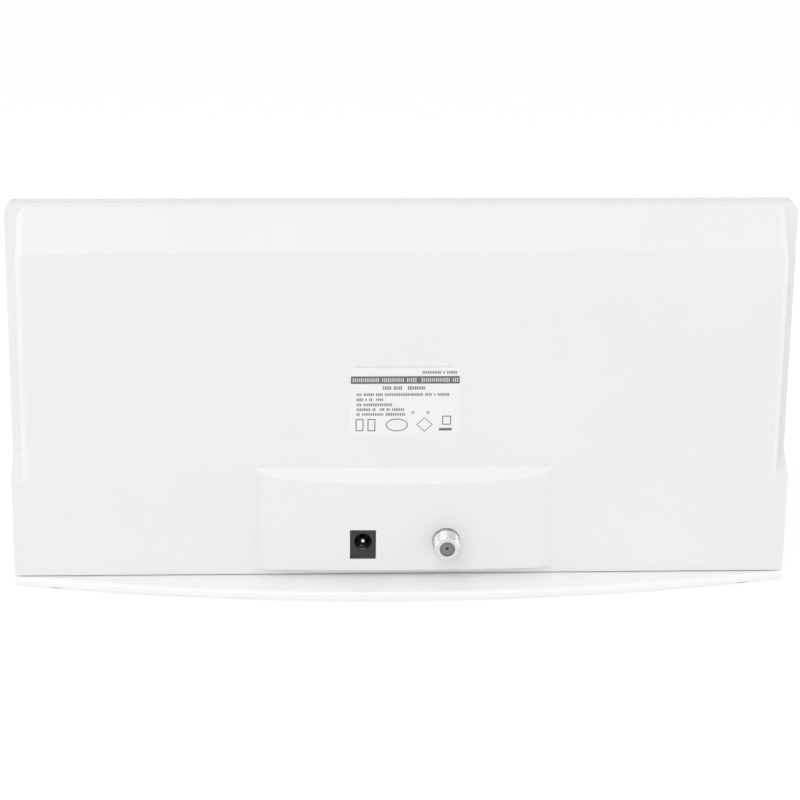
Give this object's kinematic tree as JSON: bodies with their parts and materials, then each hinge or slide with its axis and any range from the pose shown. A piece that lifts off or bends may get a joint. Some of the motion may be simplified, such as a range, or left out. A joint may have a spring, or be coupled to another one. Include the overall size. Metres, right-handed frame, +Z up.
{
  "type": "indoor tv antenna",
  "caption": "Amplified indoor television antenna: an upright rectangular white panel on a low oval base, with a threaded aerial socket and a power socket in a shallow bulge on its back.",
  "frame": {"origin": "the middle of the bounding box's underside, on the surface the feet stand on", "axes": "+Z up, -Y towards the side with the sockets and the label, +Y towards the plain front, +X to the right as seen from the socket side"},
  "size_m": [0.2776, 0.0534, 0.139],
  "materials": {
    "shell": "satin moulded white plastic",
    "base": "satin moulded white plastic with a soft sheen",
    "label": "matt printed film",
    "element": "rolled sheet",
    "screw": "bright zinc plate",
    "board": "green solder mask",
    "can": "tinned sheet",
    "ferrite": "dark sintered ferrite",
    "copper": "enamelled copper",
    "capacitor": "shrunk sleeve",
    "black": "matt black moulding",
    "contact": "tinned spring brass",
    "nickel": "bright nickel plate",
    "insulator": "grey moulded insulator",
    "lamp": "tinted clear resin",
    "clear": "milky light guide",
    "weight": "galvanised sheet",
    "foot": "clear moulded rubber"
  },
  "bodies": {
    "root": {"front_cover": "shell", "back_cover": "shell", "rating_label": "label", "element_left": "element", "element_right": "element", "element_screws": "screw", "amplifier_board": "board", "shield_can": "can", "balun_core": "ferrite", "balun_winding": "copper", "feed_wire_left": "copper", "feed_wire_right": "copper", "filter_capacitor": "capacitor", "power_socket_housing": "black", "power_socket_pin": "contact", "power_socket_leaf": "contact", "aerial_socket_body": "nickel", "aerial_socket_insulator": "insulator", "aerial_socket_contact": "copper", "power_lamp": "lamp", "light_pipe": "clear", "base_plate": "base", "base_weight": "weight", "base_screws": "screw", "foot_back_left": "foot", "foot_back_right": "foot", "foot_front_left": "foot", "foot_front_right": "foot"}
  },
  "joints": []
}
